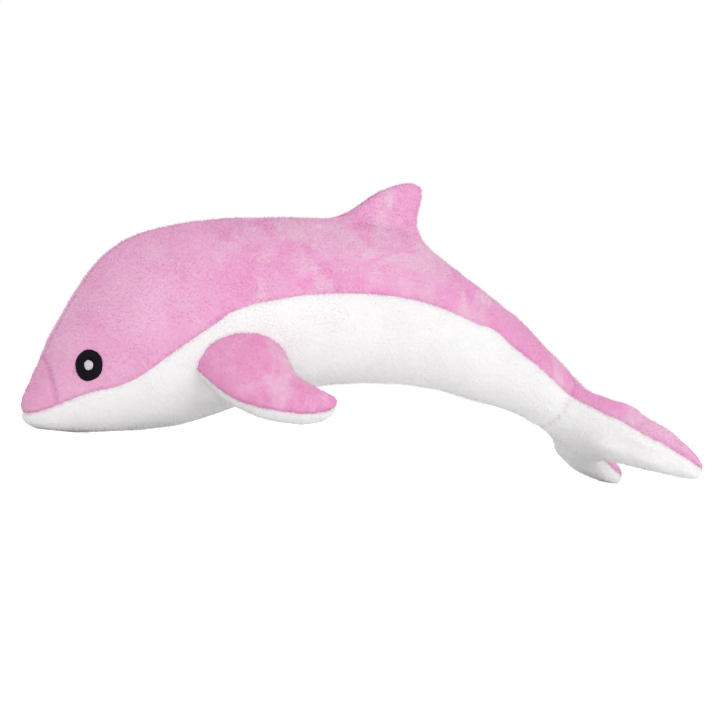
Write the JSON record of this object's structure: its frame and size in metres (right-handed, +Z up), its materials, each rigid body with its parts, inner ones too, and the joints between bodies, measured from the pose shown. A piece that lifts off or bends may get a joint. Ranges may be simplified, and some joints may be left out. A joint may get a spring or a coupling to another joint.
{
  "type": "plush dolphin",
  "caption": "Soft stuffed dolphin with a pink pile back, a white belly, a dorsal fin, flippers, tail flukes and embroidered eyes, resting on its chin and flukes.",
  "frame": {"origin": "on the floor, under the middle of the toy's bounding box", "axes": "+X from the nose to the tail, -Y towards the dolphin's left side, +Z up"},
  "size_m": [0.4916, 0.212, 0.2002],
  "materials": {
    "pink_pile": "short matte pile",
    "white_pile": "short matte pile",
    "fibre_stuffing": "loose matte fibre",
    "black_thread": "satin stitch embroidery",
    "white_thread": "satin stitch embroidery"
  },
  "bodies": {
    "root": {"back_panel_left": "pink_pile", "back_panel_right": "pink_pile", "beak_panel": "pink_pile", "fluke_top": "pink_pile", "flipper_left_top": "pink_pile", "flipper_right_top": "pink_pile", "belly_panel": "white_pile", "fluke_underside": "white_pile", "flipper_left_underside": "white_pile", "flipper_right_underside": "white_pile", "body_stuffing": "fibre_stuffing", "fluke_stuffing": "fibre_stuffing", "flipper_left_stuffing": "fibre_stuffing", "flipper_right_stuffing": "fibre_stuffing", "eye_left_border": "black_thread", "eye_right_border": "black_thread", "eye_left_centre": "white_thread", "eye_right_centre": "white_thread"}
  },
  "joints": []
}
